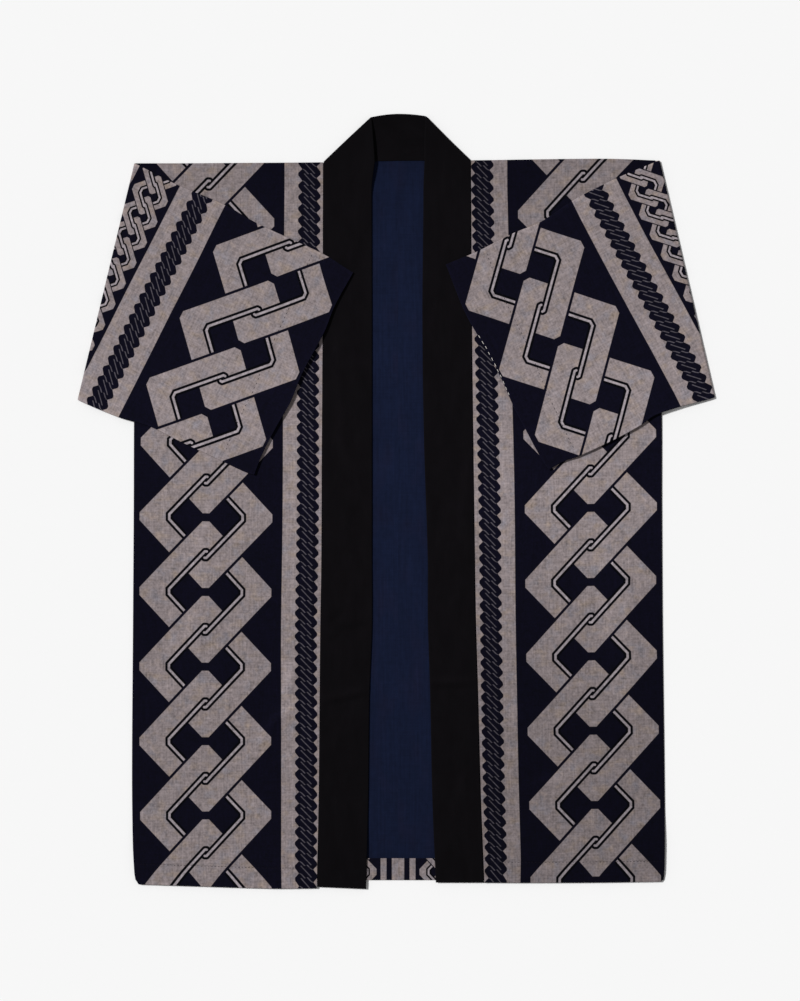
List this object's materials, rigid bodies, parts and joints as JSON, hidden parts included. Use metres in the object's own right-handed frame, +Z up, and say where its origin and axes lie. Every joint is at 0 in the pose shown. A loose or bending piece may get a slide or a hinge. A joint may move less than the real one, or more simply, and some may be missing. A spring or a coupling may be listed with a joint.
{
  "type": "happi coat laid flat with folded sleeves",
  "caption": "Short open-fronted cotton coat laid flat, face up, with straight tube sleeves folded in over the fronts and a long black collar band.",
  "frame": {"origin": "on the surface the coat lies on, under the middle of its bounding box", "axes": "+X to the right as seen from above with the collar up, +Y towards the collar, +Z up off the surface, out of the coat's front"},
  "size_m": [0.7702, 0.9366, 0.0103],
  "materials": {
    "printed_cotton": "matt slubbed cotton, navy with a greige chain and braid print, plain indigo inside",
    "black_cotton": "matt black plain-weave cotton",
    "thread": "spun sewing thread"
  },
  "bodies": {
    "root": {"body_left": "printed_cotton", "body_right": "printed_cotton", "sleeve_left": "printed_cotton", "sleeve_right": "printed_cotton", "collar": "black_cotton"}
  },
  "joints": []
}
